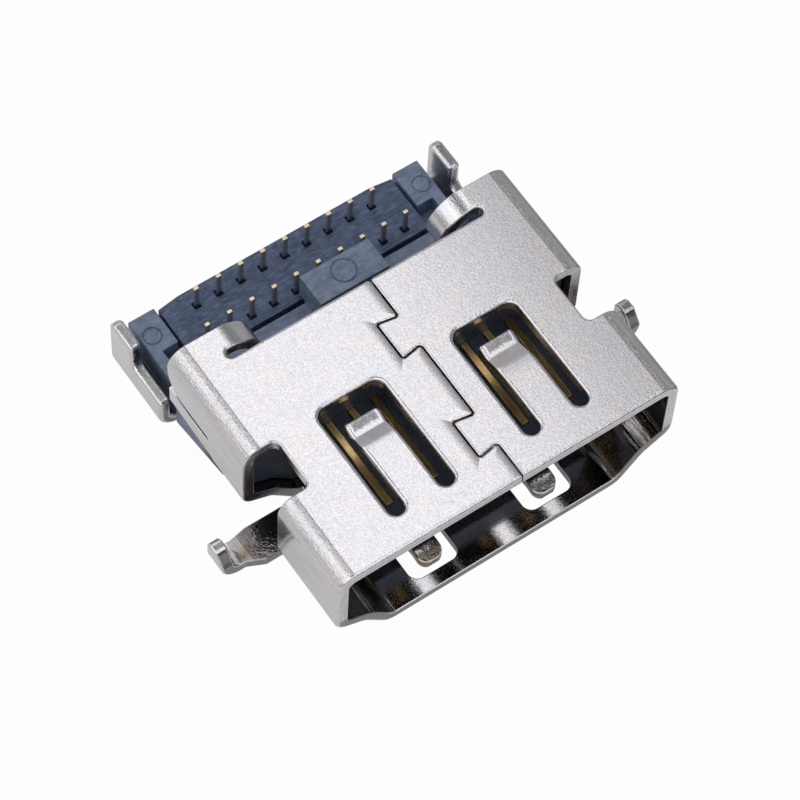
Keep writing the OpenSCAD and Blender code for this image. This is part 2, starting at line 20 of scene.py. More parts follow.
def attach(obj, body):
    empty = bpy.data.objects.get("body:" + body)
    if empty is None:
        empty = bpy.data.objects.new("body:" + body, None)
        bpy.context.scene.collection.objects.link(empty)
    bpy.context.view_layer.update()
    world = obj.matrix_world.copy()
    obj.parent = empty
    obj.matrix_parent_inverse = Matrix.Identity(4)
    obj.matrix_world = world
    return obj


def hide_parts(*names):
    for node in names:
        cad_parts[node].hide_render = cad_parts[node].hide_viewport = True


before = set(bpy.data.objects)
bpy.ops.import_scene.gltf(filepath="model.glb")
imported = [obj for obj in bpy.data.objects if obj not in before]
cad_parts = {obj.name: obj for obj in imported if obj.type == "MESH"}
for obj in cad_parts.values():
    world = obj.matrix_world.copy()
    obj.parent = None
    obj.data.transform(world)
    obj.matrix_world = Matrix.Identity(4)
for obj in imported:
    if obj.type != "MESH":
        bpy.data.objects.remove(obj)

LOG = logging.getLogger("socket")
MM = 0.001
FAR = 100.0
WHITE = (1.0, 1.0, 1.0)
Colour = Tuple[float, float, float]
Spot = Tuple[float, float, float]
Span = Tuple[float, float]


class Slot(Enum):
    """Material slots of the record."""

    NICKEL = "nickel_sheet"
    HOUSING = "housing_plastic"
    LOCATOR = "locator_plastic"
    CONTACT = "contact_metal"


class Row(Enum):
    """Rows of contacts, with the number of the first contact of each."""

    UPPER = 1
    LOWER = 2


class Mark(Enum):
    """Kinds of surface that are marked on the folded sheet."""

    BEND = "bend"
    CUT = "cut"
    INNER = "inner"
    LEG = "leg"
    LEVEL = "level"


@dataclass(frozen=True)
class Zone:
    """A box in millimetres, together with its mirror image on the other side of the socket."""

    across: Span = (-FAR, FAR)
    along: Span = (-FAR, FAR)
    up: Span = (-FAR, FAR)

    def holds(self, spot: Vector) -> bool:
        """Tells whether a point lies in the box or in its mirror image."""
        measures = zip((abs(spot.x), spot.y, spot.z), (self.across, self.along, self.up))
        return all(low < value < high for value, (low, high) in measures)


def linked(name: str, data: Any) -> bpy.types.Object:
    """Makes an object and puts it into the scene.

    Args:
        name: The object's name.
        data: Its mesh, light or camera.

    Returns:
        The object.
    """
    made = bpy.data.objects.new(name, data)
    bpy.context.collection.objects.link(made)
    return made


def panel(name: str, corners: Sequence[Spot], material: bpy.types.Material) -> bpy.types.Object:
    """Makes a flat panel.

    Args:
        name: The panel's name.
        corners: Its four corners.
        material: Its material.

    Returns:
        The panel.
    """
    mesh = bpy.data.meshes.new(name)
    mesh.from_pydata([Vector(corner) * MM for corner in corners], [], [(0, 1, 2, 3)])
    mesh.materials.append(material)
    return linked(name, mesh)


class Wiring:
    """Adds nodes to one node tree and links them."""

    def __init__(self, tree: bpy.types.NodeTree) -> None:
        """Keeps the tree that the nodes go into."""
        self.tree = tree

    def put(self, socket: bpy.types.NodeSocket, value: Any) -> None:
        """Links a socket to another socket, or sets its value.

        Args:
            socket: The input to feed.
            value: An output socket, a number, a vector or a colour.
        """
        if isinstance(value, bpy.types.NodeSocket):
            self.tree.links.new(value, socket)
        elif socket.type == "RGBA" and len(value) == 3:
            socket.default_value = (*value, 1.0)
        else:
            socket.default_value = value

    def add(self, kind: str, inputs: Optional[Dict[Any, Any]] = None, **settings: Any) -> bpy.types.Node:
        """Adds one node.

        Args:
            kind: The node's type name.
            inputs: Values or sockets by input name or number.
            settings: Properties of the node.

        Returns:
            The new node.
        """
        node = self.tree.nodes.new(kind)
        for key, value in settings.items():
            setattr(node, key, value)
        for key, value in (inputs or {}).items():
            self.put(node.inputs[key], value)
        return node

    def math(self, operation: str, first: Any, second: Any = 0.0) -> bpy.types.NodeSocket:
        """Adds a Math node and gives its output."""
        return self.add("ShaderNodeMath", {0: first, 1: second}, operation=operation).outputs[0]

    def blend(self, share: Any, first: Any, second: Any, mode: str = "MIX") -> bpy.types.NodeSocket:
        """Mixes two colours by the share of the second and gives the result."""
        node = self.add("ShaderNodeMix", {0: share, 6: first, 7: second}, data_type="RGBA", blend_type=mode)
        return node.outputs[2]

    def mix(self, share: Any, first: Any, second: Any) -> bpy.types.NodeSocket:
        """Mixes two numbers by the share of the second and gives the result."""
        return self.add("ShaderNodeMix", {0: share, 2: first, 3: second}, data_type="FLOAT").outputs[0]

    def total(self, *parts: Tuple[Any, ...]) -> bpy.types.NodeSocket:
        """Adds up products.

        Args:
            parts: Groups of values or sockets, each to be multiplied.

        Returns:
            The sum of the products.
        """
        whole: Any = 0.0
        for part in parts:
            product = part[0]
            for factor in part[1:]:
                product = self.math("MULTIPLY", product, factor)
            whole = self.math("ADD", whole, product)
        return whole

    def ramp(
        self, value: Any, low: float, high: float, start: float = 0.0, end: float = 1.0
    ) -> bpy.types.NodeSocket:
        """Remaps a value smoothly and stays between the ends.

        Args:
            value: A value or socket.
            low: The value that gives the start.
            high: The value that gives the end.
            start: The first result.
            end: The last result.

        Returns:
            The result.
        """
        node = self.add(
            "ShaderNodeMapRange",
            {"Value": value, "From Min": low, "From Max": high, "To Min": start, "To Max": end},
            interpolation_type="SMOOTHSTEP",
        )
        return node.outputs["Result"]


class Effects:
    """Surface effects that several finishes share, each a node group that is built once."""

    def __init__(self) -> None:
        """Builds the groups."""
        self.speckle = self._speckle()
        self.streaks = self._streaks()

    @staticmethod
    def _open(name: str, inputs: Dict[str, str]) -> Tuple[Wiring, Any]:
        """Starts a group that puts out one mask.

        Args:
            name: The group's name.
            inputs: The kinds of its own inputs by name. The two ends of the spread are added.

        Returns:
            The group's wiring and its inputs.
        """
        tree = bpy.data.node_groups.new(name, "ShaderNodeTree")
        for label, kind in {**inputs, "Low": "Float", "High": "Float"}.items():
            tree.interface.new_socket(label, in_out="INPUT", socket_type="NodeSocket" + kind)
        tree.interface.new_socket("Mask", in_out="OUTPUT", socket_type="NodeSocketFloat")
        wiring = Wiring(tree)
        return wiring, wiring.add("NodeGroupInput").outputs

    @staticmethod
    def _close(wiring: Wiring, inputs: Any, pattern: bpy.types.NodeSocket) -> bpy.types.NodeTree:
        """Spreads a pattern and puts it out as the group's mask.

        Args:
            wiring: The group's wiring.
            inputs: The group's inputs.
            pattern: The pattern.

        Returns:
            The finished group.
        """
        spread = wiring.add("ShaderNodeMapRange", {
            "Value": pattern, "From Min": inputs["Low"], "From Max": inputs["High"],
        })
        wiring.put(wiring.add("NodeGroupOutput").inputs["Mask"], spread.outputs["Result"])
        return wiring.tree

    def _speckle(self) -> bpy.types.NodeTree:
        """Builds an even grain.

        Returns:
            The group, whose size is the number of grains in a millimetre.
        """
        wiring, inputs = self._open("Speckle", {"Place": "Vector", "Size": "Float", "Detail": "Float"})
        noise = wiring.add("ShaderNodeTexNoise", {
            "Vector": inputs["Place"], "Scale": inputs["Size"], "Detail": inputs["Detail"], "Roughness": 0.6,
        })
        return self._close(wiring, inputs, noise.outputs["Fac"])

    def _streaks(self) -> bpy.types.NodeTree:
        """Builds streaks that run one way.

        Returns:
            The group, whose turn and stretch give the streaks their way and their length.
        """
        wiring, inputs = self._open("Streaks", {"Place": "Vector", "Turn": "Vector", "Stretch": "Vector"})
        turned = wiring.add("ShaderNodeMapping", {
            "Vector": inputs["Place"], "Rotation": inputs["Turn"], "Scale": inputs["Stretch"],
        })
        noise = wiring.add("ShaderNodeTexNoise", {
            "Vector": turned.outputs["Vector"], "Scale": 1.0, "Detail": 3.0, "Roughness": 0.55,
            "Distortion": 0.3,
        })
        return self._close(wiring, inputs, noise.outputs["Fac"])


class Surface(Wiring):
    """The wiring of a material with a shader and its place in millimetres."""

    def __init__(self, name: str) -> None:
        """Makes the material and its first nodes.

        Args:
            name: The material's name.
        """
        self.material = bpy.data.materials.new(name)
        self.material.use_nodes = True
        super().__init__(self.material.node_tree)
        self.shader = self.tree.nodes["Principled BSDF"]
        spot = self.add("ShaderNodeTexCoord").outputs["Object"]
        scaled = self.add("ShaderNodeVectorMath", {0: spot, "Scale": 1.0 / MM}, operation="SCALE")
        self.place = scaled.outputs[0]
        self.axes = self.add("ShaderNodeSeparateXYZ", {0: self.place}).outputs

    def feed(self, label: str, value: Any) -> None:
        """Feeds one of the shader's inputs with a value or socket."""
        self.put(self.shader.inputs[label], value)

    def effect(self, group: bpy.types.NodeTree, **inputs: Any) -> bpy.types.NodeSocket:
        """Places a shared effect.

        Args:
            group: The effect's group.
            inputs: Values of the group's inputs, in lower case.

        Returns:
            The effect's mask.
        """
        node = self.add("ShaderNodeGroup", {"Place": self.place}, node_tree=group)
        for label, value in inputs.items():
            self.put(node.inputs[label.capitalize()], value)
        return node.outputs["Mask"]

    def relief(self, height: Any, depth_um: float = 1.0) -> None:
        """Gives the surface a relief, whose height is a share of the depth in micrometres."""
        bump = self.add("ShaderNodeBump", {"Height": height, "Strength": 1.0, "Distance": depth_um * 1e-6})
        self.feed("Normal", bump.outputs["Normal"])


@dataclass(frozen=True)
class Finish:
    """What every finish starts from."""

    name: str

    def blank(self) -> Tuple[bpy.types.Material, Wiring]:
        """Makes a material that has no shader yet.

        Returns:
            The material and its wiring.
        """
        material = bpy.data.materials.new(self.name)
        material.use_nodes = True
        tree = material.node_tree
        tree.nodes.remove(tree.nodes["Principled BSDF"])
        return material, Wiring(tree)


@dataclass(frozen=True)
class NickelFinish(Finish):
    """Bright nickel on folded sheet: grained flats, wrinkled bends, smooth inner walls and shear-marked cut
    edges, with painted shade inside the tube and on the low cut faces.
    """

    cool: Colour = (0.70, 0.72, 0.775)
    warm: Colour = (0.785, 0.725, 0.71)
    dull: Colour = (0.42, 0.41, 0.405)
    # Sheared tone of the cut faces, also used for painted shade on the low cut faces.
    sheared_and_shade: Colour = (0.24, 0.235, 0.23)
    # Painted shade for the walls inside the tube.
    tube_shade: Colour = (0.10, 0.078, 0.062)
    straw: Colour = (0.72, 0.62, 0.46)
    grain_share: float = 0.4
    # Heights over which the painted shade on the low cut faces fades out upwards.
    low_cut_shade_z: Span = (-0.5, -0.2)
    # Heights over which the painted shade inside the tube grows from the floor's share to full on the walls.
    floor_z: Span = (-2.2, -1.9)
    tube_floor_shade_share: float = 0.2
    stamp_spot: Span = (2.95, 5.06)
    stamp_half: Span = (0.5, 0.15)
    stamp_fade: float = 0.1
    stamp_z: Span = (2.3, 2.4)
    seam_x: float = 0.46
    seam_z: Span = (2.6, 2.7)
    key_spots: Span = (2.34, 7.19)
    key_half: float = 0.71
    key_depth: float = 0.87
    key_flare: float = 10.0
    seam_roll: float = 0.42
    curl_from: float = 8.15

    def make(self, effects: Effects) -> bpy.types.Material:
        """Makes the material.

        Args:
            effects: The shared effects.

        Returns:
            The finished material.
        """
        surface = Surface(self.name)
        axes = surface.axes
        bend, cut, inner, leg, level = (
            surface.add("ShaderNodeAttribute", attribute_name=mark.value).outputs["Fac"] for mark in Mark
        )
        grain = surface.effect(effects.speckle, size=16.0, detail=2.0, low=0.3, high=0.7)
        cloud = surface.effect(effects.speckle, size=0.7, detail=2.0, low=0.35, high=0.65)
        pits = surface.effect(effects.speckle, size=9.0, detail=2.5, low=0.35, high=0.65)
        ripple = surface.effect(effects.speckle, size=2.3, detail=2.0, low=0.3, high=0.7)
        brushed = surface.effect(effects.streaks, stretch=(17.0, 1.2, 3.0), low=0.35, high=0.65)
        drawn = surface.effect(effects.streaks, stretch=(5.0, 0.5, 5.0), low=0.35, high=0.65)
        shear = surface.effect(effects.streaks, stretch=(7.0, 7.0, 1.2), low=0.38, high=0.62)
        stamp = self._stamp(surface, pits)
        dip = surface.math("MULTIPLY", self._seam_dip(surface), level)
        reach = surface.math("SUBTRACT", surface.math("ABSOLUTE", axes["X"]), self.curl_from)
        curl = surface.math("MULTIPLY", surface.math("MAXIMUM", reach, 0.0), leg)
        steep = surface.math("SUBTRACT", 1.0, level)
        # Painted shade: cut faces low on the sheet are darkened where they face the shadowed floor.
        low_cut_shade = surface.math("MULTIPLY", cut, surface.ramp(axes["Z"], *self.low_cut_shade_z, 1.0, 0.0))
        # Painted shade inside the tube, lighter on its floor.
        side = surface.math("MULTIPLY", inner, surface.ramp(axes["Z"], *self.floor_z, self.tube_floor_shade_share, 1.0))
        tone = surface.blend(surface.mix(self.grain_share, cloud, grain), self.cool, self.warm)
        # The last number of each group is the share that it adds of the colour before it.
        for colour, shares in (
            (self.straw, [(leg, cloud, 0.7)]),
            (self.dull, [(grain, level, 0.6), (brushed, level, 0.1), (drawn, steep, 0.3)]),
            # Sheared tone on cut faces and stamp patches, and painted shade on the low cut faces.
            (self.sheared_and_shade, [(cut, shear, 0.25), (low_cut_shade, 0.9), (stamp, 0.6)]),
            # Mottled painted shade inside the tube.
            (self.tube_shade, [(side, 0.55), (side, cloud, 0.4)]),
        ):
            tone = surface.blend(surface.total(*shares), tone, colour)
        surface.feed("Base Color", tone)
        surface.feed("Roughness", surface.total(
            (0.13, 1.0), (grain, 0.06), (cut, 0.03), (stamp, 0.12), (inner, -0.06)
        ))
        # The last number of each group is its height in micrometres, with curl for each millimetre of it.
        surface.relief(surface.total(
            (grain, 0.3), (grain, level, 1.0), (grain, level, inner, -0.9), (grain, bend, 7.0),
            (drawn, steep, 2.0), (pits, bend, 10.0), (pits, inner, 0.3), (pits, leg, 3.0),
            (pits, stamp, 12.0), (ripple, leg, 7.0), (ripple, curl, 35.0), (shear, cut, 2.5),
            (dip, -25.0), (curl, -400.0),
        ))
        surface.feed("Metallic", 1.0)
        return surface.material

    def _stamp(self, surface: Surface, ragged: bpy.types.NodeSocket) -> bpy.types.NodeSocket:
        """Marks the rough patch that the stamp left on each spring tip.

        Args:
            surface: The material's surface.
            ragged: A mask that roughens the outline.

        Returns:
            The patch's mask.
        """
        aside = surface.math("SUBTRACT", surface.math("ABSOLUTE", surface.axes["X"]), self.stamp_spot[0])
        along = surface.math("SUBTRACT", surface.axes["Y"], self.stamp_spot[1])
        past = [
            surface.math("SUBTRACT", surface.math("ABSOLUTE", way), half)
            for way, half in zip((aside, along), self.stamp_half)
        ]
        outside = surface.total((surface.math("MAXIMUM", *past), 1.0), (ragged, self.stamp_fade))
        patch = surface.ramp(outside, 0.0, self.stamp_fade, 1.0, 0.0)
        return surface.math("MULTIPLY", patch, surface.ramp(surface.axes["Z"], *self.stamp_z))

    def _seam_dip(self, surface: Surface) -> bpy.types.NodeSocket:
        """Marks the strip beside the dovetail seam that was rolled down when the seam was closed.

        Args:
            surface: The material's surface.

        Returns:
            The dip, from 0 on the flat to 1 at the seam.
        """
        away = surface.math("SUBTRACT", self.seam_x, surface.axes["X"])
        past = surface.math("SUBTRACT", away, self.key_depth)
        half = surface.total((self.key_half, 1.0), (away, math.tan(math.radians(self.key_flare))))
        for spot in self.key_spots:
            along = surface.math("ABSOLUTE", surface.math("SUBTRACT", surface.axes["Y"], spot))
            beside = surface.math("MAXIMUM", surface.math("SUBTRACT", along, half), past)
            away = surface.math("MINIMUM", away, beside)
        share = surface.add(
            "ShaderNodeMapRange", {"Value": away, "From Max": self.seam_roll, "To Min": 1.0, "To Max": 0.0}
        ).outputs["Result"]
        on_top = surface.ramp(surface.axes["Z"], *self.seam_z)
        return surface.math("MULTIPLY", surface.math("MULTIPLY", share, share), on_top)


@dataclass(frozen=True)
class MouldedFinish(Finish):
    """Matte blue-black moulding with flow streaks, rub marks and painted shade on the part inside the shell.
    """

    dark: Colour = (0.016, 0.036, 0.086)
    light: Colour = (0.090, 0.132, 0.240)
    scuff: Colour = (0.20, 0.25, 0.35)
    scuffing: float = 0.5
    flow_turn: float = 0.4
    rub_turn: float = -0.7
    # Painted shade on the part of the moulding inside the shell, fading out towards the rear.
    inside: Colour = (0.004, 0.005, 0.009)
    inside_shade_to: float = 9.6
    inside_shade_fade: float = 0.4
    inside_shade_share: float = 0.75
    roughness: Span = (0.4, 0.6)

    def make(self, effects: Effects) -> bpy.types.Material:
        """Makes the material.

        Args:
            effects: The shared effects.

        Returns:
            The finished material.
        """
        surface = Surface(self.name)
        cloud = surface.effect(effects.speckle, size=1.6, detail=3.0, low=0.37, high=0.63)
        grain = surface.effect(effects.speckle, size=9.0, detail=2.0, low=0.36, high=0.64)
        flow = surface.effect(
            effects.streaks, turn=(0.0, 0.0, self.flow_turn), stretch=(2.2, 6.0, 3.0), low=0.4, high=0.62
        )
        rub = surface.effect(
            effects.streaks, turn=(0.0, 0.0, self.rub_turn), stretch=(2.2, 9.0, 3.0), low=0.52, high=0.7
        )
        share = surface.total((cloud, 0.4), (flow, 0.35), (grain, 0.25))
        tone = surface.blend(share, self.dark, self.light)
        tone = surface.blend(surface.math("MULTIPLY", rub, self.scuffing), tone, self.scuff)
        # Painted shade on the front of the moulding, inside the shell.
        depth = (self.inside_shade_to - self.inside_shade_fade, self.inside_shade_to)
        shade = surface.ramp(surface.axes["Y"], *depth, self.inside_shade_share, 0.0)
        tone = surface.blend(shade, tone, self.inside)
        surface.feed("Base Color", tone)
        surface.feed("Roughness", surface.ramp(surface.math("ADD", grain, rub), 0.0, 2.0, *self.roughness))
        surface.relief(surface.total((grain, 2.0), (rub, 3.0), (flow, 2.0)))
        return surface.material


@dataclass(frozen=True)
class ContactFinish(Finish):
    """Stamped strip: satin gold where the plug rubs, tin on the tails, bare metal at the cut tips."""

    gold: Colour = (0.98, 0.72, 0.33)
    brown: Colour = (0.70, 0.46, 0.18)
    tin: Colour = (0.50, 0.49, 0.48)
    tip: Colour = (0.90, 0.74, 0.48)
    tin_from: float = 10.4
    tin_fade: float = 0.3
    tip_from: float = -0.72
    tip_fade: float = 0.01

    def make(self, effects: Effects) -> bpy.types.Material:
        """Makes the material.

        Args:
            effects: The shared effects.

        Returns:
            The finished material.
        """
        surface = Surface(self.name)
        axes = surface.axes
        wear = surface.effect(effects.streaks, stretch=(9.0, 1.0, 9.0), low=0.35, high=0.65)
        grain = surface.effect(effects.speckle, size=9.0, detail=3.0, low=0.3, high=0.7)
        tinned = surface.ramp(axes["Y"], self.tin_from - self.tin_fade, self.tin_from + self.tin_fade)
        bared = surface.ramp(axes["Z"], self.tip_from - self.tip_fade, self.tip_from + self.tip_fade)
        tone = surface.blend(wear, self.brown, self.gold)
        tone = surface.blend(tinned, tone, self.tin)
        tone = surface.blend(surface.math("MULTIPLY", bared, tinned), tone, self.tip)
        surface.feed("Base Color", tone)
        surface.feed("Roughness", surface.total((0.3, 1.0), (grain, 0.15)))
        surface.relief(surface.math("ADD", grain, wear), 1.5)
        surface.feed("Metallic", 1.0)
        return surface.material


@dataclass(frozen=True)
class FloorFinish(Finish):
    """White studio floor that keeps the socket's shadow."""

    matte: Colour = (0.84, 0.83, 0.82)
    seen: float = 0.97
    mirrored: float = 0.25

    def make(self) -> bpy.types.Material:
        """Makes the material.

        Returns:
            The finished material.
        """
        material, wiring = self.blank()
        rays = wiring.add("ShaderNodeLightPath").outputs
        seen = wiring.math("MAXIMUM", rays["Is Camera Ray"], rays["Is Transmission Ray"])
        seen = wiring.total((seen, self.seen), (rays["Is Glossy Ray"], self.mirrored))
        matte = wiring.add("ShaderNodeBsdfDiffuse", {"Color": self.matte}).outputs[0]
        glow = wiring.add("ShaderNodeEmission", {"Color": WHITE, "Strength": 1.0}).outputs[0]
        mixed = wiring.add("ShaderNodeMixShader", {0: seen, 1: matte, 2: glow})
        wiring.put(material.node_tree.nodes["Material Output"].inputs["Surface"], mixed.outputs[0])
        return material


@dataclass(frozen=True)
class CardFinish(Finish):
    """Card that only shiny surfaces see, whose glow changes along a line."""

    first: float = 1.0
    last: float = 1.0
    line: Tuple[Spot, Spot] = ((0.0, 0.0, 0.0), (1.0, 0.0, 0.0))
    tint: Colour = WHITE

    def make(self) -> bpy.types.Material:
        """Makes the material.

        Returns:
            The finished material.
        """
        material, wiring = self.blank()
        start = Vector(self.line[0]) * MM
        way = Vector(self.line[1]) * MM - start
        spot = wiring.add("ShaderNodeTexCoord").outputs["Object"]
        offset = wiring.add("ShaderNodeVectorMath", {0: spot, 1: start}, operation="SUBTRACT").outputs[0]
        share = wiring.add(
            "ShaderNodeVectorMath", {0: offset, 1: way / way.length_squared}, operation="DOT_PRODUCT"
        ).outputs["Value"]
        level = wiring.ramp(share, 0.0, 1.0, self.first, self.last)
        glow = wiring.add("ShaderNodeEmission", {"Color": self.tint, "Strength": level}).outputs[0]
        wiring.put(material.node_tree.nodes["Material Output"].inputs["Surface"], glow)
        return material


class Workshop:
    """Turns CAD meshes into finished meshes with small edge radii."""

    MERGE_MM: float = 2e-4
    SPECK_MM: float = 1e-4
    FLAT_ANGLE: float = math.radians(1.0)
    SHARP_ANGLE: float = math.radians(38.0)
    ONWARD_COSINE: float = -0.86
    STEP_MM: float = 0.15
    BESIDE_SLOPE: float = 0.5
    REACH_RADII: float = 3.0
    ROOM_SHARE: float = 0.45
    OVERTURNED_MM2: float = 1.5e-3
    OVERTURNED_COSINE: float = 0.5
    TRIES: int = 4
    SHRINK: float = 0.8
    LOOP_RADII: float = 8.0
    ROUNDS: int = 8
    FLAT_WEIGHT: int = 80

    @classmethod
    def copy_of(cls, node: str) -> bmesh.types.BMesh:
        """Copies a CAD node's mesh in millimetres, merged and with its flats made whole.

        Args:
            node: The CAD node's name.

        Returns:
            The copy.
        """
        sheet = bmesh.new()
        sheet.from_mesh(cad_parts[node].data)
        bmesh.ops.scale(sheet, vec=(1.0 / MM,) * 3, verts=sheet.verts)
        bmesh.ops.remove_doubles(sheet, verts=sheet.verts, dist=cls.MERGE_MM)
        bmesh.ops.dissolve_degenerate(sheet, dist=cls.SPECK_MM, edges=sheet.edges)
        bmesh.ops.dissolve_limit(
            sheet, angle_limit=cls.FLAT_ANGLE, use_dissolve_boundaries=False,
            verts=sheet.verts, edges=sheet.edges,
        )
        return sheet

    @classmethod
    def _rooms(cls, edges: Sequence[bmesh.types.BMEdge], reach: float) -> List[float]:
        """Finds how far each edge lies from the next edge beside it.

        Args:
            edges: The sharp edges.
            reach: The distance beyond which nothing is looked for.

        Returns:
            The distance for each edge, at most the reach.
        """
        ways = [(edge.verts[1].co - edge.verts[0].co).normalized() for edge in edges]
        ends = [{vert.index for vert in edge.verts} for edge in edges]
        sides = [{face.index for face in edge.link_faces} for edge in edges]
        spots: List[Tuple[Vector, int]] = []
        for number, edge in enumerate(edges):
            steps = max(1, math.ceil(edge.calc_length() / cls.STEP_MM))
            for step in range(steps):
                spots.append((edge.verts[0].co.lerp(edge.verts[1].co, (step + 0.5) / steps), number))
        tree = KDTree(len(spots))
        for index, (spot, _) in enumerate(spots):
            tree.insert(spot, index)
        tree.balance()
        rooms = [reach] * len(edges)
        for spot, number in spots:
            for other_spot, index, gap in tree.find_range(spot, reach):
                other = spots[index][1]
                if ends[number] & ends[other] or not sides[number] & sides[other]:
                    continue
                along = abs((other_spot - spot).dot(ways[number]))
                across = math.sqrt(max(gap * gap - along * along, 0.0))
                if along < cls.BESIDE_SLOPE * across:
                    rooms[number] = min(rooms[number], across)
        return rooms

    @classmethod
    def _runs(cls, edges: Sequence[bmesh.types.BMEdge]) -> List[List[int]]:
        """Groups edges that run on into each other without a corner.

        Args:
            edges: The sharp edges.

        Returns:
            The numbers of the edges in each run.
        """
        meeting: Dict[int, List[Tuple[int, Vector]]] = {}
        for number, edge in enumerate(edges):
            for vert in edge.verts:
                way = (edge.other_vert(vert).co - vert.co).normalized()
                meeting.setdefault(vert.index, []).append((number, way))
        beside: Dict[int, List[int]] = {number: [] for number in range(len(edges))}
        for group in meeting.values():
            for number, way in group:
                beside[number] += [
                    other for other, other_way in group if way.dot(other_way) < cls.ONWARD_COSINE
                ]
        runs: List[List[int]] = []
        left = set(beside)
        while left:
            run = [left.pop()]
            for number in run:
                fresh = [other for other in beside[number] if other in left]
                left.difference_update(fresh)
                run += fresh
            runs.append(run)
        return runs

    @staticmethod
    def _meetings(spots: Sequence[Vector], normal: Vector) -> List[Tuple[int, int, Vector]]:
        """Finds where the outline of a flat crosses itself.

        Args:
            spots: The corners of the outline.
            normal: The way the flat looks.

        Returns:
            The numbers of the corners before the two sides that cross, and the place, for each crossing.
        """
        turn = normal.to_track_quat("Z", "Y").inverted()
        flat = [(turn @ spot).to_2d() for spot in spots]
        count = len(flat)
        found: List[Tuple[int, int, Vector]] = []
        for first in range(count):
            for second in range(first + 2, count - (first == 0)):
                side = (flat[first + 1] - flat[first]).length
                meet = intersect_line_line_2d(
                    flat[first], flat[first + 1], flat[second], flat[(second + 1) % count]
                )
                if meet and side > 0.0:
                    way = (meet - flat[first]).length / side
                    found.append((first, second, spots[first].lerp(spots[first + 1], way)))
        return found

    @classmethod
    def _crossings(cls, mesh: bpy.types.Mesh) -> List[Vector]:
        """Finds the places where the outlines of flats cross themselves.

        Args:
            mesh: The rounded mesh.

        Returns:
            The places.
        """
        mesh.calc_loop_triangles()
        odd = {
            part.polygon_index for part in mesh.loop_triangles
            if part.area > cls.OVERTURNED_MM2
            and part.normal.dot(mesh.polygons[part.polygon_index].normal) < cls.OVERTURNED_COSINE
        }
        places: List[Vector] = []
        for index in odd:
            face = mesh.polygons[index]
            spots = [mesh.vertices[corner].co for corner in face.vertices]
            places += [place for _, _, place in cls._meetings(spots, face.normal)]
        return places

    @classmethod
    def _small_loop(
        cls, face: bmesh.types.BMFace, limit: float
    ) -> Optional[Tuple[List[bmesh.types.BMVert], Vector]]:
        """Finds a small loop in an outline that crosses itself.

        Args:
            face: The face.
            limit: The longest way round a small loop.

        Returns:
            The corners on the loop and the place of the crossing, or None.
        """
        corners = list(face.verts)
        spots = [corner.co for corner in corners]
        count = len(corners)
        for first, second, place in cls._meetings(spots, face.normal):
            for part in (range(first + 1, second + 1), range(second + 1, count + first + 1)):
                loop = [corners[number % count] for number in part]
                way = [place] + [corner.co for corner in loop] + [place]
                if sum((there - here).length for here, there in zip(way, way[1:])) < limit:
                    return loop, place.copy()
        return None

    @classmethod
    def _untangle(cls, mesh: bpy.types.Mesh, limit: float) -> int:
        """Pulls the small loops of crossing outlines into the places where they cross.

        Args:
            mesh: The rounded mesh.
            limit: The longest way round a small loop.

        Returns:
            The number of loops.
        """
        shape = bmesh.new()
        shape.from_mesh(mesh)
        count = 0
        for _ in range(cls.ROUNDS):
            before = count
            for face in [face for face in shape.faces if len(face.verts) > 4]:
                found = cls._small_loop(face, limit) if face.is_valid else None
                if found:
                    bmesh.ops.pointmerge(shape, verts=found[0], merge_co=found[1])
                    count += 1
            if count == before:
                break
        shape.to_mesh(mesh)
        shape.free()
        return count

    @classmethod
    def rounded(
        cls, sheet: bmesh.types.BMesh, name: str, radius: float, segments: int,
        share: Callable[[bmesh.types.BMEdge], float] = lambda edge: 1.0,
    ) -> bpy.types.Mesh:
        """Rounds the sharp edges, with a smaller radius on each run of edges that has no room for more.

        Args:
            sheet: The mesh in millimetres.
            name: The new mesh's name.
            radius: The largest edge radius in millimetres.
            segments: The number of faces across an edge.
            share: Gives the share of the radius that an edge gets.

        Returns:
            The rounded mesh in millimetres, whose edge faces have material number 1.
        """
        sheet.verts.index_update()
        sheet.faces.index_update()
        weight = sheet.edges.layers.float.new("bevel_weight_edge")
        sharp = [
            edge for edge in sheet.edges
            if len(edge.link_faces) == 2 and edge.calc_face_angle() > cls.SHARP_ANGLE
        ]
        rooms = cls._rooms(sharp, cls.REACH_RADII * radius)
        runs = cls._runs(sharp)
        parts = [
            min(min(share(sharp[number]), cls.ROOM_SHARE * rooms[number] / radius) for number in run)
            for run in runs
        ]
        for attempt in range(cls.TRIES):
            for run, part in zip(runs, parts):
                for number in run:
                    sharp[number][weight] = part
            mesh = cls._bevelled(sheet, name, radius, segments)
            places = cls._crossings(mesh)
            if not places:
                break
            for index, run in enumerate(runs):
                ends = [vert.co for number in run for vert in sharp[number].verts]
                if any((end - place).length < radius for place in places for end in ends):
                    parts[index] *= cls.SHRINK
        loops = cls._untangle(mesh, cls.LOOP_RADII * radius)
        LOG.info("%s: edges rounded in %d tries, %d loops pulled in", name, attempt + 1, loops)
        return cls._evened(mesh, name)

    @staticmethod
    def baked(rough: bpy.types.Object, name: str) -> bpy.types.Mesh:
        """Turns an object with modifiers into a plain mesh.

        Args:
            rough: The object, which is used up together with its mesh.
            name: The new mesh's name.

        Returns:
            The new mesh.
        """
        bpy.context.view_layer.update()
        finished = bpy.data.meshes.new_from_object(rough.evaluated_get(bpy.context.evaluated_depsgraph_get()))
        mesh = rough.data
        bpy.data.objects.remove(rough)
        bpy.data.meshes.remove(mesh)
        finished.name = name
        return finished

    @classmethod
    def _evened(cls, mesh: bpy.types.Mesh, name: str) -> bpy.types.Mesh:
        """Evens the shading of the flats.

        Args:
            mesh: The rounded mesh, which is used up.
            name: The new mesh's name.

        Returns:
            The new mesh.
        """
        rough = linked(name + "_plain", mesh)
        flat = rough.modifiers.new("Flat", "WEIGHTED_NORMAL")
        flat.mode = "FACE_AREA"
        flat.weight = cls.FLAT_WEIGHT
        flat.keep_sharp = False
        return cls.baked(rough, name)

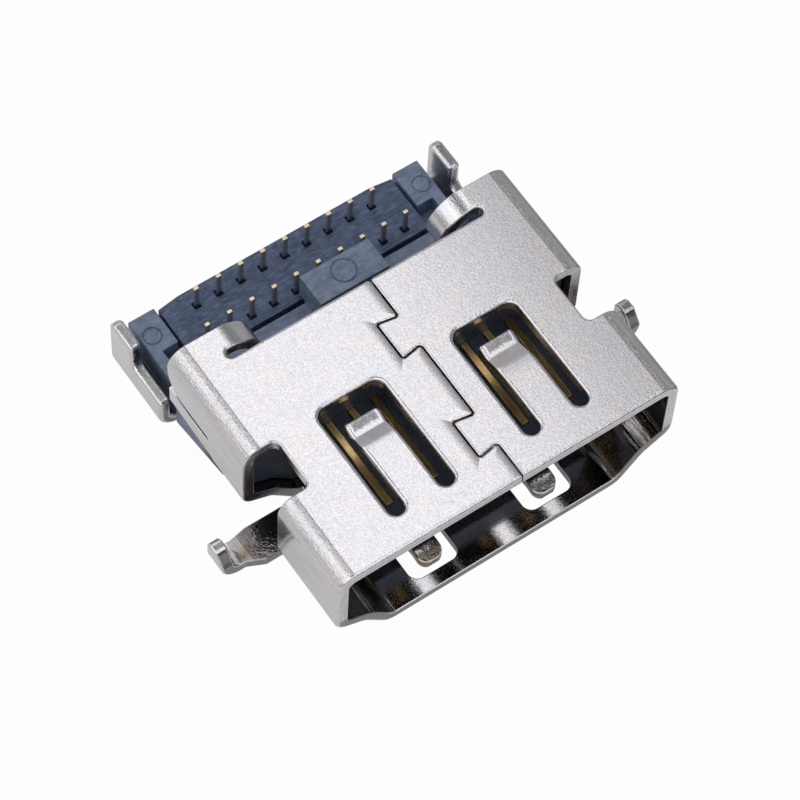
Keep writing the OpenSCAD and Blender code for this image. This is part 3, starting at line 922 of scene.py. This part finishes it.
    @classmethod
    def _bevelled(cls, sheet: bmesh.types.BMesh, name: str, radius: float, segments: int) -> bpy.types.Mesh:
        """Rounds the weighted edges.

        Args:
            sheet: The mesh in millimetres, whose edges carry weights.
            name: The new mesh's name.
            radius: The edge radius at full weight in millimetres.
            segments: The number of faces across an edge.

        Returns:
            The rounded mesh in millimetres.
        """
        plain = bpy.data.meshes.new(name + "_plain")
        sheet.to_mesh(plain)
        plain.shade_smooth()
        plain.materials.append(None)
        plain.materials.append(None)
        rough = linked(name + "_plain", plain)
        edge = rough.modifiers.new("Edge", "BEVEL")
        edge.width = radius
        edge.segments = segments
        edge.limit_method = "WEIGHT"
        edge.use_clamp_overlap = False
        edge.loop_slide = False
        edge.miter_outer = "MITER_ARC"
        edge.material = 1
        return cls.baked(rough, name)

    @staticmethod
    def settle(mesh: bpy.types.Mesh, name: str, material: bpy.types.Material) -> bpy.types.Object:
        """Makes a piece in metres from a mesh in millimetres.

        Args:
            mesh: The mesh in millimetres.
            name: The piece's name.
            material: The piece's material.

        Returns:
            The piece.
        """
        mesh.transform(Matrix.Scale(MM, 4))
        mesh.materials.clear()
        mesh.materials.append(material)
        mesh.polygons.foreach_set("material_index", [0] * len(mesh.polygons))
        return linked(name, mesh)

    @staticmethod
    def place(piece: bpy.types.Object, slot: Slot, nodes: Sequence[str]) -> None:
        """Puts a finished piece in the place of CAD nodes.

        Args:
            piece: The piece.
            slot: The record's slot. Not used.
            nodes: The CAD nodes that it stands for.
        """
        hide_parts(*nodes)
        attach(piece, "root")
        LOG.info("%s: %d faces", piece.name, len(piece.data.polygons))


@dataclass
class Piece:
    """A piece that stands for one CAD node, with rounded edges."""

    node: str
    name: str
    slot: Slot
    edge_r: float = 0.035
    edge_steps: int = 2

    def edge_share(self, edge: bmesh.types.BMEdge) -> float:
        """Gives the share of the full radius that a sharp edge gets."""
        return 1.0

    def mark(self, mesh: bpy.types.Mesh, solid: bmesh.types.BMesh) -> None:
        """Marks faces for a finish that tells them apart. A plain piece has no marks."""

    def build(self, material: bpy.types.Material) -> None:
        """Builds the piece and puts it in place.

        Args:
            material: The piece's finish.
        """
        solid = Workshop.copy_of(self.node)
        mesh = Workshop.rounded(solid, self.name, self.edge_r, self.edge_steps, self.edge_share)
        self.mark(mesh, solid)
        solid.free()
        Workshop.place(Workshop.settle(mesh, self.name, material), self.slot, [self.node])


@dataclass
class FoldedShell(Piece):
    """The nickel-plated sheet, folded round the insulator."""

    node: str = "shell"
    name: str = "folded_shell"
    slot: Slot = Slot.NICKEL
    edge_r: float = 0.15
    edge_steps: int = 4
    sheet_t: float = 0.5
    inner_half: float = 7.02
    inner_top: float = 2.29
    inner_end: float = 9.9
    facing_in: float = -0.2
    burr_share: float = 0.3
    slit: Zone = Zone((6.9, FAR), (8.0, FAR), (0.2, 0.95))
    slit_share: float = 0.25
    leg_tip: Zone = Zone((8.8, FAR), (-FAR, 7.0), (-1.57, FAR))
    tip_share: float = 0.5
    seam: Zone = Zone((-FAR, 1.2), (0.05, 9.7), (2.0, FAR))
    seam_share: float = 0.7
    rear_edge: Zone = Zone((-FAR, 5.3), (9.7, 9.85), (2.7, FAR))
    rear_share: float = 1.2
    leg: Zone = Zone((6.2, FAR), (4.0, 6.0), (-FAR, -1.2))
    top_spring: Zone = Zone((2.15, 3.75), (3.2, 5.7), (1.0, FAR))
    floor_spring: Zone = Zone((2.04, 3.1), (0.7, 4.3), (-FAR, -1.0))
    tab: Zone = Zone((-FAR, 7.0), (9.9, FAR), (1.0, FAR))
    probe_in: float = 0.02
    thin_share: float = 1.15
    slanted: float = 0.995
    strip_w: float = 0.35
    soft_bend: float = 0.3
    leg_level: float = 0.5
    top_level: float = 0.96

    def _is_inner(self, spot: Vector, normal: Vector) -> bool:
        """Tells whether a face at a point, with its normal, looks into the tube."""
        inside = abs(spot.x) < self.inner_half and abs(spot.z) < self.inner_top and spot.y < self.inner_end
        return inside and normal.x * spot.x + normal.z * spot.z < self.facing_in

    def edge_share(self, edge: bmesh.types.BMEdge) -> float:
        """Gives the slits, the leg tips, the seam and the inner side, where the burr lies, a smaller radius.

        Args:
            edge: A sharp edge of the sheet.

        Returns:
            The share of the full radius.
        """
        spot = (edge.verts[0].co + edge.verts[1].co) / 2
        if self.slit.holds(spot):
            return self.slit_share
        if self.leg_tip.holds(spot):
            return self.tip_share
        if any(self._is_inner(spot, face.normal) for face in edge.link_faces):
            return self.burr_share
        if self.seam.holds(spot):
            return self.seam_share
        return self.rear_share if self.rear_edge.holds(spot) else 1.0

    def _kinds(
        self, mesh: bpy.types.Mesh, face: bpy.types.MeshPolygon, spot: Vector, walls: BVHTree
    ) -> Dict[Mark, float]:
        """Tells what kinds of surface a face is.

        Args:
            mesh: The rounded mesh.
            face: The face.
            spot: A point on the face.
            walls: The sheet before its edges were rounded.

        Returns:
            How much the face is of each kind.
        """
        normal = face.normal
        rolled = face.material_index == 1
        depth = walls.ray_cast(spot - normal * self.probe_in, -normal)[3]
        cut = not rolled and (depth is None or depth >= self.sheet_t * self.thin_share)
        on_floor_spring = self.floor_spring.holds(spot)
        inner = self._is_inner(spot, normal) and not on_floor_spring
        plain = inner or on_floor_spring or self.top_spring.holds(spot)
        longest = max(
            (mesh.vertices[first].co - mesh.vertices[second].co).length for first, second in face.edge_keys
        )
        strip = face.area < self.strip_w * longest and max(abs(axis) for axis in normal) < self.slanted
        on_leg = self.leg.holds(spot) and normal.z > self.leg_level and not rolled and not cut
        softness = self.soft_bend if rolled or self.tab.holds(spot) else 1.0
        return {
            Mark.BEND: float(strip and not plain) * softness,
            Mark.CUT: float(cut),
            Mark.INNER: float(inner),
            Mark.LEG: float(on_floor_spring or on_leg),
            Mark.LEVEL: float(normal.z > self.top_level),
        }

    def mark(self, mesh: bpy.types.Mesh, solid: bmesh.types.BMesh) -> None:
        """Marks bends, cut faces, inner walls, legs and upward flats.

        Args:
            mesh: The rounded mesh.
            solid: The sheet before its edges were rounded.
        """
        walls = BVHTree.FromBMesh(solid)
        mesh.calc_loop_triangles()
        largest: Dict[int, Tuple[float, Vector]] = {}
        for part in mesh.loop_triangles:
            if part.area > largest.get(part.polygon_index, (-1.0, None))[0]:
                largest[part.polygon_index] = (part.area, Vector(part.center))
        kinds = [self._kinds(mesh, face, largest[face.index][1], walls) for face in mesh.polygons]
        for mark in Mark:
            layer = mesh.attributes.new(mark.value, "FLOAT", "FACE")
            layer.data.foreach_set("value", [kind[mark] for kind in kinds])


@dataclass
class ContactRow:
    """One row of stamped contacts, repeated along the tongue."""

    row: Row
    pitch: float = 1.0
    last: int = 19
    edge_r: float = 0.02
    edge_steps: int = 2

    def nodes(self) -> List[str]:
        """Names the CAD contacts of the row."""
        return ["contact_%02d" % k for k in range(self.row.value, self.last + 1, 2)]

    def _tree(self) -> Tuple[bpy.types.NodeTree, Dict[str, str]]:
        """Builds the tree that repeats a contact.

        Returns:
            The tree, and the identifier of each input by its name.
        """
        tree = bpy.data.node_groups.new("Contact row", "GeometryNodeTree")
        kinds = {
            "Contact": "NodeSocketGeometry", "Count": "NodeSocketInt",
            "Pitch": "NodeSocketFloat", "Finish": "NodeSocketMaterial",
        }
        names = {
            label: tree.interface.new_socket(label, in_out="INPUT", socket_type=kind).identifier
            for label, kind in kinds.items()
        }
        tree.interface.new_socket("Row", in_out="OUTPUT", socket_type="NodeSocketGeometry")
        wiring = Wiring(tree)
        entry = wiring.add("NodeGroupInput")
        leave = wiring.add("NodeGroupOutput")
        step = wiring.add("ShaderNodeCombineXYZ", {"X": entry.outputs["Pitch"]})
        line = wiring.add("GeometryNodeMeshLine", {
            "Count": entry.outputs["Count"], "Offset": step.outputs[0],
        })
        copies = wiring.add("GeometryNodeInstanceOnPoints", {
            "Points": line.outputs["Mesh"], "Instance": entry.outputs["Contact"],
        })
        real = wiring.add("GeometryNodeRealizeInstances", {"Geometry": copies.outputs["Instances"]})
        dressed = wiring.add("GeometryNodeSetMaterial", {
            "Geometry": real.outputs["Geometry"], "Material": entry.outputs["Finish"],
        })
        wiring.put(leave.inputs["Row"], dressed.outputs["Geometry"])
        return tree, names

    def build(self, material: bpy.types.Material) -> None:
        """Builds the first contact with rounded edges, repeats it and puts the row in place.

        Args:
            material: The contact finish.
        """
        nodes = self.nodes()
        strip = Workshop.copy_of(nodes[0])
        mesh = Workshop.rounded(strip, "first_contact", self.edge_r, self.edge_steps)
        strip.free()
        seed = Workshop.settle(mesh, "first_contact", material)
        tree, names = self._tree()
        repeat = seed.modifiers.new("Row", "NODES")
        repeat.node_group = tree
        repeat[names["Count"]] = len(nodes)
        repeat[names["Pitch"]] = self.pitch * MM
        repeat[names["Finish"]] = material
        name = "contact_row_" + self.row.name.lower()
        Workshop.place(linked(name, Workshop.baked(seed, name)), Slot.CONTACT, nodes)


@dataclass
class Card:
    """A card in the studio that only shiny surfaces see."""

    name: str
    corners: Sequence[Spot]
    glow: Sequence[Any]

    def build(self) -> None:
        """Sets the card up."""
        finish = CardFinish(self.name.replace("_", " ").capitalize(), *self.glow)
        card = panel(self.name, self.corners, finish.make())
        card.visible_camera = False
        card.visible_diffuse = False
        card.visible_shadow = False
        card.visible_transmission = False
        LOG.info("%s set up", self.name)


@dataclass
class Studio:
    """Floor, soft light, cards and camera."""

    floor_z: float = -3.978
    floor_half: float = 400.0
    ambient: float = 0.62
    mirrored: float = 0.45
    lamp_power: float = 0.055
    lamp_size: float = 160.0
    lamp_spot: Spot = (-40.0, 60.0, 180.0)
    aim: Spot = (0.0, 7.0, 0.775)
    azimuth: float = -37.928
    elevation: float = 60.85
    roll: float = -4.038
    distance: float = 142.508
    lens: float = 174.27
    shift_y: float = -0.04205
    sensor: float = 36.0
    clip_m: Span = (0.01, 10.0)
    card_length: Span = (-120.0, 130.0)
    card_half: float = 150.0
    green_tint: Colour = (0.96, 1.0, 0.96)
    blue_tint: Colour = (1.0, 1.0, 1.03)

    def build(self) -> None:
        """Sets up the whole studio."""
        self._floor()
        self._world()
        self._lamp()
        self._cards()
        self._camera()
        bpy.context.scene.view_settings.view_transform = "Standard"

    def _floor(self) -> None:
        """Lays the floor."""
        half = self.floor_half
        sides = ((-half, -half), (half, -half), (half, half), (-half, half))
        corners = [(*side, self.floor_z) for side in sides]
        floor = panel("studio_floor", corners, FloorFinish("Studio white").make())

    def _world(self) -> None:
        """Makes a white surround that is dimmer for matt and for shiny surfaces."""
        world = bpy.data.worlds.new("Surround")
        world.use_nodes = True
        bpy.context.scene.world = world
        wiring = Wiring(world.node_tree)
        rays = wiring.add("ShaderNodeLightPath").outputs
        seen = wiring.math("MAXIMUM", rays["Is Camera Ray"], rays["Is Transmission Ray"])
        level = wiring.mix(rays["Is Glossy Ray"], self.ambient, self.mirrored)
        back = world.node_tree.nodes["Background"]
        wiring.put(back.inputs["Color"], WHITE)
        wiring.put(back.inputs["Strength"], wiring.mix(seen, level, 1.0))

    def _lamp(self) -> None:
        """Hangs the soft lamp that throws the shadow."""
        light = bpy.data.lights.new("Soft lamp", "AREA")
        light.shape = "SQUARE"
        light.size = self.lamp_size * MM
        light.energy = self.lamp_power
        lamp = linked("Soft lamp", light)
        lamp.location = Vector(self.lamp_spot) * MM
        lamp.rotation_mode = "QUATERNION"
        lamp.rotation_quaternion = (lamp.location - Vector(self.aim) * MM).to_track_quat("Z", "Y")
        lamp.visible_glossy = False

    def _cards(self) -> None:
        """Sets up the cards that shape the reflections."""
        # Each row has a name, two edges and the glow. Edges are (x, z) lengthwise and (y, z) crosswise.
        lengthwise = [
            ("main_card", (8, 100), (64, 100), 1.44, 0.46, ((36, 0, 100), (48, 0, 100)), self.blue_tint),
            ("gap_card", (-28, 100), (8, 100), 0.16, 0.16),
            ("left_card", (-120, 45), (-28, 100), 1.4, 1.0, ((-60, 0, 80), (-120, 0, 45))),
            ("right_card", (64, 100), (150, 10), 0.26, 0.46, ((64, 0, 100), (150, 0, 10)), self.green_tint),
            (
                "right_floor_card", (13, -3.9), (160, -3.9), 0.28, 0.4,
                ((13, 0, 0), (100, 0, 0)), self.green_tint,
            ),
        ]
        crosswise = [
            ("high_front_card", (-150, 50), (-120, 100), 1.2, 1.2),
            ("front_card", (-150, -5), (-150, 50), 0.12, 0.12),
        ]
        near, far = self.card_length
        for name, (left, low), (right, high), *glow in lengthwise:
            corners = [(left, near, low), (right, near, high), (right, far, high), (left, far, low)]
            Card(name, corners, glow).build()
        half = self.card_half
        for name, (front, low), (rear, high), *glow in crosswise:
            corners = [(-half, front, low), (half, front, low), (half, rear, high), (-half, rear, high)]
            Card(name, corners, glow).build()

    def _camera(self) -> None:
        """Places the camera at the picture's angle."""
        turn = math.radians(self.azimuth)
        lift = math.radians(self.elevation)
        tilt = math.radians(self.roll)
        back = Vector((math.sin(turn) * math.cos(lift), -math.cos(turn) * math.cos(lift), math.sin(lift)))
        right = Vector((math.cos(turn), math.sin(turn), 0.0))
        up = back.cross(right)
        across = right * math.cos(tilt) - up * math.sin(tilt)
        upward = right * math.sin(tilt) + up * math.cos(tilt)
        data = bpy.data.cameras.new("Camera")
        data.sensor_width = self.sensor
        data.lens = self.lens
        data.shift_y = self.shift_y
        data.clip_start, data.clip_end = self.clip_m
        camera = linked("Camera", data)
        spot = (Vector(self.aim) + back * self.distance) * MM
        facing = Matrix((across, upward, back)).transposed().to_4x4()
        camera.matrix_world = Matrix.Translation(spot) @ facing
        bpy.context.scene.camera = camera


def main() -> None:
    """Builds the socket's pieces in order, then the studio."""
    logging.basicConfig(level=logging.INFO, format="%(name)s: %(message)s")
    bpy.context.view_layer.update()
    effects = Effects()
    FoldedShell().build(NickelFinish("Bright nickel").make(effects))
    housing = MouldedFinish("Housing moulding", dark=(0.085, 0.125, 0.210), light=(0.230, 0.285, 0.410))
    Piece("insulator_housing", "moulded_housing", Slot.HOUSING).build(housing.make(effects))
    locator = MouldedFinish("Locator moulding")
    Piece("tail_locator", "tail_plate", Slot.LOCATOR, edge_r=0.025).build(locator.make(effects))
    strip = ContactFinish("Contact strip").make(effects)
    for row in Row:
        ContactRow(row).build(strip)
    Studio().build()


if __name__ == "__main__":
    main()
